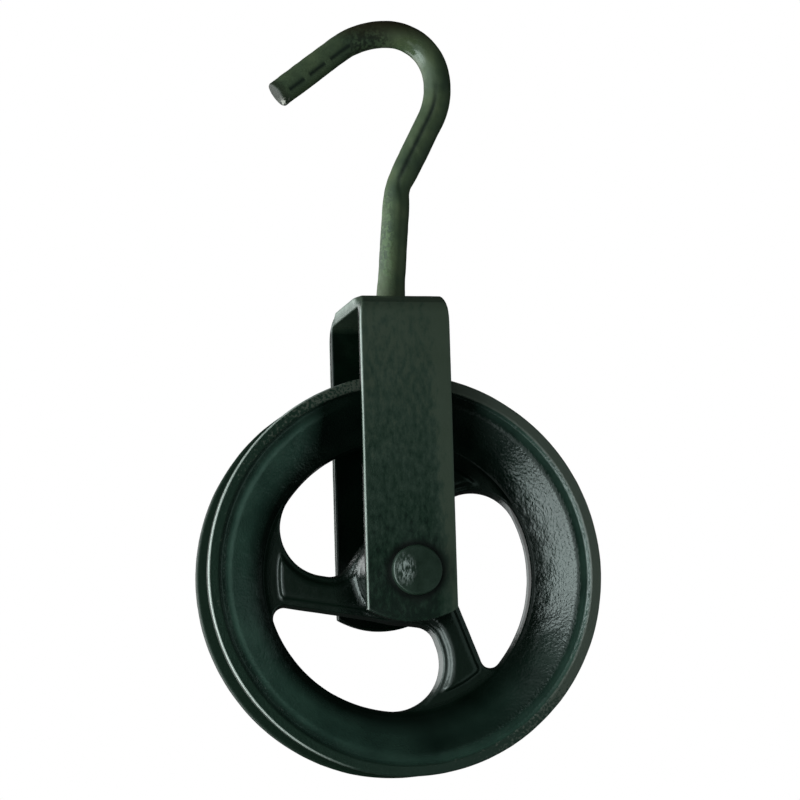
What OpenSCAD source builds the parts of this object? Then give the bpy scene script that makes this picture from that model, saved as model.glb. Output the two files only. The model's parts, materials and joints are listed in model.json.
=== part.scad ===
// Well pulley: a cast wheel on a riveted axle, held in a bent flat bar under a swivel hook.
// Millimetres. The origin is the inside of the hook's crown, where the pulley hangs.
// +Z points up, and the wheel's axle lies along Y.

/* [Wheel] */
// Diameter over the lips of the rim
wheel_d = 200; // [195:1:240]
// Width over the lips of the rim
rim_w = 42; // [40:0.5:48]
// Radius of the rope groove's round bottom
groove_r = 14; // [11:0.5:15]
// Wall of the rim around the groove
rim_wall = 5; // [4:0.25:5.5]
// Depth from the lips' edge to the centre of the groove's round bottom
groove_seat = 7; // [6:0.5:9]
// Height of the raised lips at the rim's edge
lip_h = 5; // [3.5:0.25:6]
// Thickness of a lip at its edge
lip_t = 4; // [3.5:0.25:5]
// Round on a lip's outer corner
lip_round = 2; // [1:0.25:3]
// Thickness of the flat web that carries the rim
web_t = 7; // [5:0.5:10]
// Width of the flat land between the rim and the windows
land_w = 6.5; // [4:0.5:9]
// Direction of the first spoke, seen from the front
spoke_turn = 171; // [0:1:359]
// Narrowest width of a spoke
spoke_w = 16.5; // [14:0.5:19]
// Distance of a spoke's straight side from the axle's centre line
spoke_side = 22.5; // [20:0.5:25]
// Thickness across the raised middle of the spokes
arm_t = 14; // [11:0.5:18]
// Width of the flat border beside the raised middle
arm_border = 2.5; // [1.5:0.25:4]
// Distance from the windows' outer edge to the end of the raised middle
arm_end = 6; // [3:0.5:10]
// Round where a window's curved side meets the rim
window_round = 25; // [18:0.5:26]
// Round where a window's straight side meets the rim
corner_round = 6.5; // [4:0.5:9]
// Round of a window's corner beside the hub
hub_round = 11; // [6:0.5:12]
// How far the hub's cone swells past the spokes' straight sides
hub_swell = 0.5; // [0.25:0.25:2]
// Diameter of the hub's flat ends
hub_end_d = 38; // [30:0.5:42]

/* [Axle] */
// Diameter of the axle rivet
axle_d = 16; // [12:0.5:20]
// Diameter of the rivet's front head
head_d = 25; // [23:0.5:34]
// Height of the rivet's front head
head_h = 6; // [4:0.25:8]
// Rise of a head's slightly domed face
head_dome = 1.2; // [0.6:0.1:2.5]
// Diameter of the head hammered over at the back
peen_d = 24; // [22:0.5:30]
// Height of the head hammered over at the back
peen_h = 5; // [3.5:0.25:7]
// Diameter of the washer under the back head
burr_d = 34; // [31:0.5:42]
// Thickness of the washer under the back head
burr_t = 3; // [2:0.25:4]

/* [Stirrup] */
// Width of the flat bar
strap_w = 45.5; // [40:0.5:55]
// Thickness of the flat bar
strap_t = 6; // [4:0.5:8]
// Inside radius of the two bends
bend_in = 3.5; // [1.5:0.25:6]
// Height from the axle's centre to the top of the stirrup
strap_rise = 138; // [132:1:180]
// Distance from the axle's centre to the lowest point of a leg
strap_drop = 25; // [22:0.5:34]
// Distance that the bar's middle stands to the left of its holes
strap_off = 1.75; // [0:0.25:3]
// Radius of a leg's rounded end
strap_end_r = 45; // [30:1:80]
// Room between the rim and each leg of the stirrup
leg_room = 12; // [8:0.5:18]

/* [Hook] */
// Diameter of the hook's round bar
bar_d = 14; // [11:0.5:17]
// How much thinner the bar is drawn at its bends
bend_thin = 0.2; // [0.1:0.05:0.6]
// Height from the top of the stirrup to the inside of the hook's crown
hook_rise = 134.5; // [125:0.5:160]
// Distance that the crown stands to the right of the swivel's axis
crown_off = 2.5; // [0:0.25:5]
// Length of straight shank above the stirrup
shank_foot = 3; // [1:0.5:8]
// Lean of the shank's long straight run
shank_lean = 5; // [2:0.5:8]
// Lean of the straight run that returns to the crown
return_lean = 27.3; // [24:0.1:30]
// Radius of the slight bend above the stirrup
foot_bend_r = 30; // [20:1:45]
// Radius of the sharp bend between the two straight runs
kink_r = 20; // [12:1:26]
// Radius of the bowl's wide bend, below its tight one
bowl_wide_r = 38; // [34:0.5:42]
// Radius of the bowl's tight bend, beside the crown
bowl_tight_r = 25; // [22:0.5:27]
// Lean at which the wide bend changes to the tight one
bowl_change = 10; // [4:1:16]
// Radius of the bend from the crown to the point
point_bend_r = 44; // [36:1:52]
// Slope of the point below level
point_slope = 37.3; // [28:0.1:48]
// Length of the straight point
point_len = 41; // [25:1:55]
// Diameter of the head hammered over under the stirrup
foot_head_d = 24; // [20:0.5:30]
// Height of the head hammered over under the stirrup
foot_head_h = 8; // [5:0.5:10]
// Diameter of the washer under the stirrup
hook_washer_d = 34; // [31:0.5:40]
// Thickness of the washer under the stirrup
hook_washer_t = 3; // [2:0.25:4]

/* [Clearances] */
// Clearance around a pin that turns in its hole, on the radius
run_fit = 0.08; // [0.04:0.01:0.1]
// Clearance around a rivet in its hole, on the radius
rivet_fit = 0.05; // [0.02:0.01:0.08]
// Gap between faces that turn on each other
turn_gap = 0.2; // [0.1:0.05:0.5]
// Gap between each end of the hub and the stirrup
hub_gap = 0.4; // [0.2:0.1:1]

/* [Hidden] */
$fn = 96;
spokes = 3;
// How far the rivet's shank reaches into its heads
head_root = 1;
// How far a round reaches into the two sides that it joins
round_reach = 0.03;

casting_green = [0.10, 0.14, 0.12];
bar_green = [0.13, 0.18, 0.15];
hook_green = [0.17, 0.22, 0.16];

// Places that the pieces share
swivel_x = -crown_off;
stirrup_top = -hook_rise;
stirrup_under = stirrup_top - strap_t;
axle_z = stirrup_top - strap_rise;
inside_w = rim_w + 2 * leg_room;
outside_w = inside_w + 2 * strap_t;
hub_len = inside_w - 2 * hub_gap;
washer_under = stirrup_under - turn_gap - hook_washer_t;

// Radii of the wheel, from the lips inwards
wheel_r = wheel_d / 2;
seat_r = wheel_r - groove_seat;
shell_r = groove_r + rim_wall;
rim_inner_r = seat_r - shell_r;
window_r = rim_inner_r - land_w;
arm_r = window_r - arm_end;

// A point at distance r from the axle's centre, in direction a
function polar(r, a) = r * [cos(a), sin(a)];

// A point given along and beside the next spoke, seen from this one
pitch = 360 / spokes;
function beside_next(along, beside) = along * polar(1, pitch) + beside * polar(1, pitch + 90);

// Centres of a window's three rounds: at its straight side, at its curved side, beside the hub
curve_side = spoke_side - spoke_w;
corner_y = spoke_side + corner_round;
corner_c = [sqrt(pow(window_r - corner_round, 2) - pow(corner_y, 2)), corner_y];
curve_y = curve_side - window_round;
curve_c = beside_next(sqrt(pow(window_r - window_round, 2) - pow(curve_y, 2)), curve_y);
inner_y = spoke_side + hub_round;
inner_c = [(inner_y * cos(pitch) - curve_side + hub_round) / sin(pitch), inner_y];

// The hook's two long straight runs follow from where its crown has to stand
function heading(a) = [sin(a), cos(a)];
function bend_step(a, b, r) = sign(b - a) * r * [cos(a) - cos(b), sin(b) - sin(a)];
runs_sum = [crown_off, hook_rise + bar_d / 2 - shank_foot]
    - bend_step(0, shank_lean, foot_bend_r)
    - bend_step(shank_lean, return_lean, kink_r)
    - bend_step(return_lean, -bowl_change, bowl_wide_r)
    - bend_step(-bowl_change, -90, bowl_tight_r);
runs_angle = return_lean - shank_lean;
shank_run = cross(heading(return_lean), runs_sum) / sin(runs_angle);
return_run = cross(runs_sum, heading(shank_lean)) / sin(runs_angle);

// Steps of the bar from its foot: each a straight run, or a turn to the right and its radius.
// Every second step is drawn a little thinner, and the full ones lap over its ends.
foot_run = stirrup_top + shank_foot - washer_under;
step_lap = 0.5;
hook_steps = [
    [foot_run, 0, 0],
    [0, shank_lean, foot_bend_r],
    [shank_run, 0, 0],
    [0, runs_angle, kink_r],
    [return_run, 0, 0],
    [0, -return_lean - bowl_change, bowl_wide_r],
    [0, bowl_change - 90, bowl_tight_r],
    [0, -point_slope, point_bend_r],
    [point_len, 0, 0]
];

// Turns what is drawn from the front to face the front, with its middle at the wheel's middle
module facing_front() {
    rotate([90, 0, 0])
        children();
}

// The sharp corner outside a round of radius r about c, between the points where it meets its sides
module corner_fill(c, r, touch_a, touch_b, corner) {
    difference() {
        polygon([c, c + 1.5 * (touch_a - c), c + 1.8 * (corner - c), c + 1.5 * (touch_b - c)]);
        translate(c)
            circle(r + round_reach);
    }
}

// One window, its straight side along the spoke that points to the right, grown by a border
module window(border) {
    outer = window_r + border;
    side = spoke_side - border;
    curve = curve_side + border;
    inner = [(side * cos(pitch) - curve) / sin(pitch), side];
    to_curve = polar(1, pitch + 90);
    difference() {
        intersection() {
            circle(outer);
            polygon([inner, [2 * outer, side], polar(3 * outer, pitch / 2), beside_next(2 * outer, curve)]);
        }
        corner_fill(corner_c, corner_round + border,
            [corner_c[0], side],
            polar(outer, atan2(corner_c[1], corner_c[0])),
            [sqrt(pow(outer, 2) - pow(side, 2)), side]);
        corner_fill(curve_c, window_round + border,
            polar(outer, atan2(curve_c[1], curve_c[0])),
            curve_c + (window_round + border) * to_curve,
            beside_next(sqrt(pow(outer, 2) - pow(curve, 2)), curve));
        corner_fill(inner_c, hub_round + border,
            [inner_c[0], side],
            inner_c + (hub_round + border) * to_curve,
            inner);
    }
}

// A slab of thickness t and radius r, without the windows grown by a border
module windowed_slab(r, t, border) {
    linear_extrude(t, center = true)
        difference() {
            circle(r);
            for (i = [0:spokes - 1])
                rotate(spoke_turn + i * pitch)
                    window(border);
        }
}

// One lip of the rim's section, from the round bottom's centre to its rounded edge
module lip_section() {
    polygon([
        [seat_r, 0],
        [seat_r, shell_r],
        [wheel_r - lip_h, rim_w / 2],
        [wheel_r - lip_round, rim_w / 2],
        [wheel_r - lip_round, rim_w / 2 - lip_round],
        [wheel_r, rim_w / 2 - lip_round],
        [wheel_r, 0]
    ]);
    translate([wheel_r - lip_round, rim_w / 2 - lip_round])
        circle(lip_round);
}

// The rim's section, cut by the round groove and its flared mouth
module rim_section() {
    difference() {
        union() {
            intersection() {
                translate([seat_r, 0])
                    circle(shell_r);
                translate([0, -shell_r])
                    square([seat_r, 2 * shell_r]);
            }
            lip_section();
            mirror([0, 1])
                lip_section();
        }
        translate([seat_r, 0])
            circle(groove_r);
        polygon([
            [seat_r, -groove_r],
            [seat_r, groove_r],
            [wheel_r, rim_w / 2 - lip_t],
            [wheel_r + 1, rim_w / 2 - lip_t],
            [wheel_r + 1, lip_t - rim_w / 2],
            [wheel_r, lip_t - rim_w / 2]
        ]);
    }
}

// The cast wheel: rim, web with its windows, raised spokes and coned hub, bored for the axle
module pulley_wheel() {
    color(casting_green)
        translate([swivel_x, 0, axle_z])
            facing_front()
                difference() {
                    union() {
                        rotate_extrude()
                            rim_section();
                        windowed_slab(rim_inner_r + rim_wall / 2, web_t, 0);
                        windowed_slab(arm_r, arm_t, arm_border);
                        for (end = [0, 1])
                            mirror([0, 0, end])
                                cylinder(r1 = spoke_side + hub_swell, d2 = hub_end_d, h = hub_len / 2);
                    }
                    cylinder(d = axle_d + 2 * run_fit, h = hub_len + 1, center = true);
                }
}

// A head of diameter d and height h, with a slightly domed face
module head(d, h) {
    ball_r = (pow(d / 2, 2) + pow(head_dome, 2)) / (2 * head_dome);
    intersection() {
        cylinder(d = d, h = h);
        translate([0, 0, h - ball_r])
            sphere(ball_r);
    }
}

// The axle: a rivet with a flat domed head in front and a hammered head behind
module axle_rivet() {
    color(hook_green)
        translate([swivel_x, 0, axle_z])
            facing_front() {
                translate([0, 0, -outside_w / 2 - burr_t - head_root])
                    cylinder(d = axle_d, h = outside_w + burr_t + 2 * head_root);
                translate([0, 0, outside_w / 2])
                    head(head_d, head_h);
                translate([0, 0, -outside_w / 2 - burr_t])
                    mirror([0, 0, 1])
                        head(peen_d, peen_h);
            }
}

// A flat washer with its top face at zero
module washer(d, t, hole_d) {
    translate([0, 0, -t])
        difference() {
            cylinder(d = d, h = t);
            translate([0, 0, -1])
                cylinder(d = hole_d, h = t + 2);
        }
}

// The washer under the rivet's hammered head
module rivet_washer() {
    color(bar_green)
        translate([swivel_x, outside_w / 2, axle_z])
            facing_front()
                washer(burr_d, burr_t, axle_d + 2 * rivet_fit);
}

// An outline of the stirrup across the wheel, longer below than the legs by a spare length
module stirrup_section(half_w, r, spare) {
    top_y = stirrup_top - (outside_w / 2 - half_w);
    low_y = axle_z - strap_drop - spare;
    difference() {
        translate([-half_w, low_y])
            square([2 * half_w, top_y - low_y]);
        for (side = [-1, 1])
            corner_fill([side * (half_w - r), top_y - r], r,
                [side * half_w, top_y - r],
                [side * (half_w - r), top_y],
                [side * half_w, top_y]);
    }
}

// The outline of a leg seen from the front, with its rounded end
module leg_outline() {
    low_z = axle_z - strap_drop;
    intersection() {
        translate([-strap_w / 2, low_z])
            square([strap_w, stirrup_top - low_z + 1]);
        union() {
            translate([0, low_z + strap_end_r])
                circle(strap_end_r);
            translate([-strap_w / 2, low_z + strap_end_r])
                square([strap_w, stirrup_top - low_z + 1]);
        }
    }
}

// The stirrup: a flat bar bent into a U over the wheel, with holes for the rivet and the hook
module stirrup_strap() {
    color(bar_green)
        translate([swivel_x, 0, 0])
            difference() {
                translate([-strap_off, 0, 0])
                    intersection() {
                        rotate([90, 0, 90])
                            linear_extrude(strap_w, center = true)
                                difference() {
                                    stirrup_section(outside_w / 2, bend_in + strap_t, 1);
                                    stirrup_section(inside_w / 2, bend_in, 2);
                                }
                        facing_front()
                            linear_extrude(outside_w + 2, center = true)
                                leg_outline();
                    }
                translate([0, 0, axle_z])
                    facing_front()
                        cylinder(d = axle_d + 2 * rivet_fit, h = outside_w + 2, center = true);
                translate([0, 0, stirrup_under - 1])
                    cylinder(d = bar_d + 2 * run_fit, h = strap_t + 2);
            }
}

// A straight run of bar of diameter d up from the origin, longer by a lap below and above
module bar_run(d, run, lap) {
    translate([0, 0, -lap])
        cylinder(d = d, h = run + 2 * lap);
}

// A bend of bar of diameter d that starts up from the origin, longer by a lap at each end
module bar_bend(d, turn, bend_r, lap) {
    lap_turn = lap / bend_r * 180 / PI;
    translate([sign(turn) * bend_r, 0, 0])
        rotate([0, 0, turn > 0 ? 180 : 0])
            facing_front()
                rotate(-lap_turn)
                    rotate_extrude(angle = abs(turn) + 2 * lap_turn)
                        translate([bend_r, 0])
                            circle(d = d);
}

// The bar from step i on, standing up from the origin
module bent_bar(steps, i = 0) {
    run = steps[i][0];
    turn = steps[i][1];
    to_centre = [sign(turn) * steps[i][2], 0, 0];
    full = i % 2 == 0;
    d = full ? bar_d : bar_d - bend_thin;
    lap = full ? step_lap : 0;
    if (turn == 0)
        bar_run(d, run, lap);
    else
        bar_bend(d, turn, steps[i][2], lap);
    if (i < len(steps) - 1)
        translate([0, 0, run])
            translate(to_centre)
                rotate([0, turn, 0])
                    translate(-to_centre)
                        bent_bar(steps, i + 1);
}

// The hook: a round bar bent to shape, with its foot hammered over under the stirrup
module hook() {
    color(hook_green)
        translate([swivel_x, 0, washer_under]) {
            bent_bar(hook_steps);
            mirror([0, 0, 1])
                head(foot_head_d, foot_head_h);
        }
}

// The washer between the hook's foot and the stirrup
module hook_washer() {
    color(bar_green)
        translate([swivel_x, 0, washer_under + hook_washer_t])
            washer(hook_washer_d, hook_washer_t, bar_d + 2 * run_fit);
}

pulley_wheel();
axle_rivet();
rivet_washer();
stirrup_strap();
hook();
hook_washer();
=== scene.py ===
# A well pulley: a painted cast-iron wheel on a riveted axle, in a bent flat-bar stirrup under a forged swivel hook.
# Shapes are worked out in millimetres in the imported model's frame: +Z is up, and the axle lies along Y.
import json
import math

import bpy
import numpy as np
from mathutils import Matrix, Vector, noise

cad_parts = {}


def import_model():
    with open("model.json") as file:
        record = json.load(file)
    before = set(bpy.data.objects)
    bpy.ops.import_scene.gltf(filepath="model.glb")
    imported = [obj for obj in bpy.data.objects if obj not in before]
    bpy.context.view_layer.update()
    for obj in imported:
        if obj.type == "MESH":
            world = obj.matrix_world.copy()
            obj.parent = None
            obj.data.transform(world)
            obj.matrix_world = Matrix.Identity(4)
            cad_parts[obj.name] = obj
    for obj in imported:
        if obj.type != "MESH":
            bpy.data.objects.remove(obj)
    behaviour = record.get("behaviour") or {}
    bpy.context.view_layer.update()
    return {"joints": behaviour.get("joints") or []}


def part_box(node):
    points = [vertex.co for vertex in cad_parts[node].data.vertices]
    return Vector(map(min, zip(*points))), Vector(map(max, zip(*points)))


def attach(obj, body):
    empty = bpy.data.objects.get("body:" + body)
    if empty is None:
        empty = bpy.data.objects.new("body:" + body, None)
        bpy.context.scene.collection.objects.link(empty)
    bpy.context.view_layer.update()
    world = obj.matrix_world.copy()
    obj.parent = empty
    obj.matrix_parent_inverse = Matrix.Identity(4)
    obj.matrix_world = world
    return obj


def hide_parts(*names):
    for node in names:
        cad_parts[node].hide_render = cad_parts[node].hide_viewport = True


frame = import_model()
MM = 0.001


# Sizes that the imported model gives

def corners(node):
    """A CAD node's lowest and highest corners, in millimetres."""
    low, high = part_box(node)
    return np.array(low) / MM, np.array(high) / MM


def joint_place(name):
    """Where a joint's axis passes, in millimetres."""
    found = [j for j in frame["joints"] if j["name"] == name]
    return np.array(found[0]["pos_m"]) / MM


axle = joint_place("wheel_spin")
swivel_x = axle[0]
wheel_low, wheel_high = corners("pulley_wheel")
wheel_r = (wheel_high[0] - wheel_low[0]) / 2
hub_half = wheel_high[1]
strap_low, strap_high = corners("stirrup_strap")
strap_w = strap_high[0] - strap_low[0]
strap_middle = (strap_high[0] + strap_low[0]) / 2
outside_half = strap_high[1]
stirrup_top = strap_high[2]
burr_low, burr_high = corners("rivet_washer")
rivet_low, rivet_high = corners("axle_rivet")
plate_low, plate_high = corners("hook_washer")
hook_low, hook_high = corners("hook")

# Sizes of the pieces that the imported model's boxes don't give
rim_half = 21
groove_r = 14
shell_h = 19
shell_slope = 39
shoulder_r = 6
shoulder_start = wheel_r - 9.2
seat_r = wheel_r - 7
lip_w = 5
lip_round = 0.9
mouth_flare = 0.5
web_half = 3.5
web_blend = 0.3
window_r = 68.4
window_edge = 0.9
window_draft = 0.2
spoke_turn = 171
spoke_side = 22.5
curve_side = 6
window_round = 25
corner_round = 6.5
hub_round = 11
pitch = 120
arm_half = 6
arm_border = 2.5
arm_shoulder = 4
arm_end_edge = 2.2
arm_end_r = 61.8
hub_base_r = 23
hub_end_r = 19
bore_r = 8.08
axle_r = 8
strap_t = 6
strap_arris = 0.9
bend_in = 3.5
bend_thinning = 2.4
strap_end_r = 45
bar_r = 7
eye_r = 7.08
hole_play = 0.05


# Smooth shapes: each is a distance field, negative inside

def join(a, b, blend):
    """Both shapes, with a hollow blend of about that radius between them."""
    near = np.maximum(blend - np.abs(a - b), 0)
    return np.minimum(a, b) - near * near / (4 * blend)


def overlap(a, b, blend):
    """What two shapes share, with its edge rounded by about that radius."""
    return -join(-a, -b, blend)


def polar(radius, degrees):
    """A point at a distance and direction from the origin."""
    turn = math.radians(degrees)
    return np.array([math.cos(turn), math.sin(turn)]) * radius


def arc(centre, radius, start, end, count):
    """Points along an arc, with its ends given in degrees."""
    return [np.array(centre) + polar(radius, a) for a in np.linspace(start, end, count)]


def signed_distance(outline, x, y):
    """Distance from points to a closed outline, negative inside it."""
    nearest = np.full(np.broadcast(x, y).shape, np.inf)
    inside = np.zeros(nearest.shape, bool)
    for a, b in zip(outline, np.roll(outline, -1, axis=0)):
        run = b - a
        along = np.clip(((x - a[0]) * run[0] + (y - a[1]) * run[1]) / (run @ run), 0, 1)
        off_x = x - a[0] - along * run[0]
        off_y = y - a[1] - along * run[1]
        nearest = np.minimum(nearest, off_x ** 2 + off_y ** 2)
        if a[1] != b[1]:
            crossing = (a[1] > y) != (b[1] > y)
            inside ^= crossing & (x < a[0] + (y - a[1]) * run[0] / run[1])
    return np.where(inside, -1, 1) * np.sqrt(nearest)


def chart(outline, low, high, step):
    outline = np.array(outline)
    across = np.arange(low[0], high[0] + step, step)
    up = np.arange(low[1], high[1] + step, step)
    grid = signed_distance(outline, across[:, None], up[None, :])

    def look_up(x, y):
        i = np.clip((x - low[0]) / step, 0, len(across) - 1.001)
        j = np.clip((y - low[1]) / step, 0, len(up) - 1.001)
        i0 = i.astype(int)
        j0 = j.astype(int)
        i = i - i0
        j = j - j0
        near = grid[i0, j0] * (1 - i) + grid[i0 + 1, j0] * i
        far = grid[i0, j0 + 1] * (1 - i) + grid[i0 + 1, j0 + 1] * i
        return near * (1 - j) + far * j

    return look_up


# Meshes from distance fields

def slope(field, points, reach=0.15):
    """The field's slope at each point."""
    rises = []
    for axis in range(3):
        step = np.zeros(3)
        step[axis] = reach
        rises.append(field(*(points + step).T) - field(*(points - step).T))
    return np.stack(rises, axis=1) / (2 * reach)


def skin(field, low, high, step, drawn_in=lambda *place: place):
    """Points and four-sided faces over the surface where a field is zero, on a lattice that may be drawn in."""
    axes = [np.arange(a, b + step, step) for a, b in zip(low, high)]
    value = np.asarray(field(*drawn_in(*np.meshgrid(*axes, indexing="ij", sparse=True))), np.float32)
    inside = value < 0
    corner_steps = [(i, j, k) for i in (0, 1) for j in (0, 1) for k in (0, 1)]
    size = np.array(inside.shape) - 1
    filled = sum(
        inside[i:i + size[0], j:j + size[1], k:k + size[2]].astype(np.int8)
        for i, j, k in corner_steps
    )
    cells = np.argwhere((filled > 0) & (filled < 8))
    number = np.full(size, -1, np.int32)
    number[tuple(cells.T)] = np.arange(len(cells))
    total = np.zeros((len(cells), 3))
    count = np.zeros(len(cells))
    for start in corner_steps:
        for axis in range(3):
            if start[axis]:
                continue
            end = list(start)
            end[axis] = 1
            here = value[tuple((cells + start).T)]
            there = value[tuple((cells + end).T)]
            crossed = (here < 0) != (there < 0)
            share = np.where(crossed, here / np.where(crossed, here - there, 1), 0)
            place = np.tile(np.array(start, float), (len(cells), 1))
            place[:, axis] += share
            total += place * crossed[:, None]
            count += crossed
    points = np.array(low) + (cells + total / count[:, None]) * step
    points = np.stack(drawn_in(*points.T), axis=1)
    faces = []
    for axis in range(3):
        first, second = (axis + 1) % 3, (axis + 2) % 3
        here = np.moveaxis(inside, (axis, first, second), (0, 1, 2))
        ids = np.moveaxis(number, (axis, first, second), (0, 1, 2))
        changed = np.argwhere(here[:-1, 1:-1, 1:-1] != here[1:, 1:-1, 1:-1])
        a, b, c = changed.T
        around = (ids[a, b, c], ids[a, b + 1, c], ids[a, b + 1, c + 1], ids[a, b, c + 1])
        four = np.stack(around, axis=1)
        outward = here[a, b + 1, c + 1]
        faces.append(np.where(outward[:, None], four, four[:, ::-1]))
    for _ in range(3):
        rise = slope(field, points)
        fall = field(*points.T) / np.maximum((rise ** 2).sum(1), 0.1)
        points = points - np.clip(fall, -step / 2, step / 2)[:, None] * rise
    return points, np.concatenate(faces)


def rough(points, seed, size):
    """Gentle noise at each point, about -0.5 to 0.5, with bumps of a size in millimetres."""
    shift = Vector((seed * 17.3, size * 31.7, seed * 5.1))
    return np.array([noise.noise(Vector(p) / size + shift) for p in points.tolist()])


def uneven(points, seed, *waves):
    """A depth at each point, from nothing up to each wave's depth, given as (size, depth)."""
    return sum(most * (0.5 - rough(points, seed, size)) for size, most in waves)


def outward(field, points):
    """The way out of the surface at each point."""
    rise = slope(field, points)
    return rise / np.maximum(np.linalg.norm(rise, axis=1), 0.1)[:, None]


def make(name, points, faces, paint_on_it, body, replaced, marks=None):
    """A smooth piece from points in millimetres, in its place in the frame, with named values on its points."""
    mesh = bpy.data.meshes.new(name)
    mesh.from_pydata((np.asarray(points) * MM).tolist(), [], [list(map(int, f)) for f in faces])
    mesh.shade_smooth()
    mesh.materials.append(paint_on_it)
    for mark, values in (marks or {}).items():
        mesh.attributes.new(mark, "FLOAT", "POINT").data.foreach_set("value", np.asarray(values, np.float32))
    piece = bpy.data.objects.new(name, mesh)
    bpy.context.scene.collection.objects.link(piece)
    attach(piece, body)
    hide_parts(replaced)
    return piece


# The wheel

def window_outline():
    """One window, its straight side beside a spoke that points to the right."""
    def beside_next(along, beside):
        return polar(along, pitch) + polar(beside, pitch + 90)

    corner_y = spoke_side + corner_round
    corner = np.array([math.sqrt((window_r - corner_round) ** 2 - corner_y ** 2), corner_y])
    curve_y = curve_side - window_round
    curve = beside_next(math.sqrt((window_r - window_round) ** 2 - curve_y ** 2), curve_y)
    inner_y = spoke_side + hub_round
    turn = math.radians(pitch)
    inner_x = (inner_y * math.cos(turn) - curve_side + hub_round) / math.sin(turn)
    corner_turn = math.degrees(math.atan2(corner[1], corner[0]))
    curve_turn = math.degrees(math.atan2(curve[1], curve[0]))
    return [
        *arc(corner, corner_round, -90, corner_turn, 16),
        *arc((0, 0), window_r, corner_turn, curve_turn, 40)[1:],
        *arc(curve, window_round, curve_turn, pitch + 90, 40)[1:],
        *arc((inner_x, inner_y), hub_round, pitch + 90, 270, 14),
    ]


def rim_outline():
    """The rim's section from its middle to one lip, as (radius, height)."""
    flank_h = groove_r + mouth_flare
    shoulder = np.array([shoulder_start, shell_h - shoulder_r])
    slope_top = shoulder + polar(shoulder_r, 90 + shell_slope)
    foot_h = web_half - 0.4
    foot_r = slope_top[0] - (slope_top[1] - foot_h) / math.tan(math.radians(shell_slope))
    return [
        np.array([foot_r, -1]),
        np.array([foot_r, foot_h]),
        *arc(shoulder, shoulder_r, 90 + shell_slope, 90, 10),
        np.array([wheel_r - lip_w - rim_half + shell_h, shell_h]),
        np.array([wheel_r - lip_w, rim_half]),
        *arc((wheel_r - lip_round, rim_half - lip_round), lip_round, 90, 0, 6),
        *arc((wheel_r - lip_round, flank_h + lip_round), lip_round, 0, -85, 6),
        *arc((seat_r, 0), groove_r, 90, 180, 24),
        np.array([seat_r - groove_r, -1]),
    ]


corner_r = rim_outline()[0][0]
window_at = chart(window_outline(), (-70, -5), (75, 75), 0.3)
rim_at = chart(rim_outline(), (62, -1), (wheel_r + 3, rim_half + 3), 0.1)


def windows(x, z):
    """Distance to the nearest of the windows, negative in one."""
    radius = np.hypot(x, z)
    turn = np.radians(np.mod(np.degrees(np.arctan2(z, x)) - spoke_turn, pitch))
    found = None
    for step in (0, pitch, -pitch):
        a = turn + math.radians(step)
        here = window_at(radius * np.cos(a), radius * np.sin(a))
        found = here if found is None else np.minimum(found, here)
    return found


def wheel_field(x, y, z):
    """The whole casting about its own centre, with its fillets and rounded edges."""
    radius = np.hypot(x, z)
    height = np.abs(y)
    open_at = windows(x, z)
    clear = open_at + window_draft * np.clip(y + web_half, 0, 2 * web_half)
    rim = rim_at(radius, height)
    web = overlap(overlap(height - web_half, -clear, window_edge), radius - 76.5, 1)
    raised = overlap(arm_border - open_at, height - arm_half, arm_shoulder)
    arms = overlap(raised, radius - arm_end_r, arm_end_edge)
    taper = (hub_base_r - hub_end_r) / hub_half
    cone = (radius - hub_base_r + taper * height) / math.hypot(1, taper)
    hub = overlap(cone, height - hub_half, 1.2)
    body = join(web, arms, 1.2)
    body = join(body, hub, 4)
    body = join(body, rim, web_blend)
    return overlap(body, bore_r - radius, 0.6)


lattice = 0.85
fine_r = 88
fineness = 2


def lips_drawn_in(x, y, z):
    """A lattice whose outer part, past the shell, is drawn in to make it finer at the lips."""
    radius = np.maximum(np.hypot(x, z), 1)
    share = np.where(radius > fine_r, (fine_r + (radius - fine_r) / fineness) / radius, 1)
    return x * share, y + 0 * share, z * share


def pulley_wheel():
    """The wheel in one casting."""
    reach = fine_r + (wheel_r + 1.2 - fine_r) * fineness
    depth = hub_half + 1.6
    points, faces = skin(wheel_field, (-reach, -depth, -reach), (reach, depth, reach), lattice, lips_drawn_in)
    bored = np.hypot(points[:, 0], points[:, 2]) < bore_r + 1
    dents = np.where(bored, 0, uneven(points, 1, (22, 0.14), (6, 0.07)))
    points = points - outward(wheel_field, points) * dents[:, None] + axle
    paint_on_it = gloss_paint_on_casting()
    return make("cast_wheel", points, faces, paint_on_it, "wheel", "pulley_wheel")


# The stirrup

bend_mid = bend_in + strap_t / 2
bridge_half = outside_half - strap_t / 2 - bend_mid
bend_run = bend_mid * math.pi / 2
leg_top = stirrup_top - strap_t / 2 - bend_mid
half_run = bridge_half + bend_run + leg_top - strap_low[2]
hole_across = strap_middle - swivel_x


def blank_outline():
    """The flat bar before it was bent, with its two rounded ends."""
    half = strap_w / 2
    swing = math.degrees(math.asin(half / strap_end_r))
    return [
        *arc((half_run - strap_end_r, 0), strap_end_r, -swing, swing, 24),
        *arc((strap_end_r - half_run, 0), strap_end_r, 180 - swing, 180 + swing, 24),
    ]


blank_at = chart(blank_outline(), (-half_run - 2, -strap_w / 2 - 2), (half_run + 2, strap_w / 2 + 2), 0.4)


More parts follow.
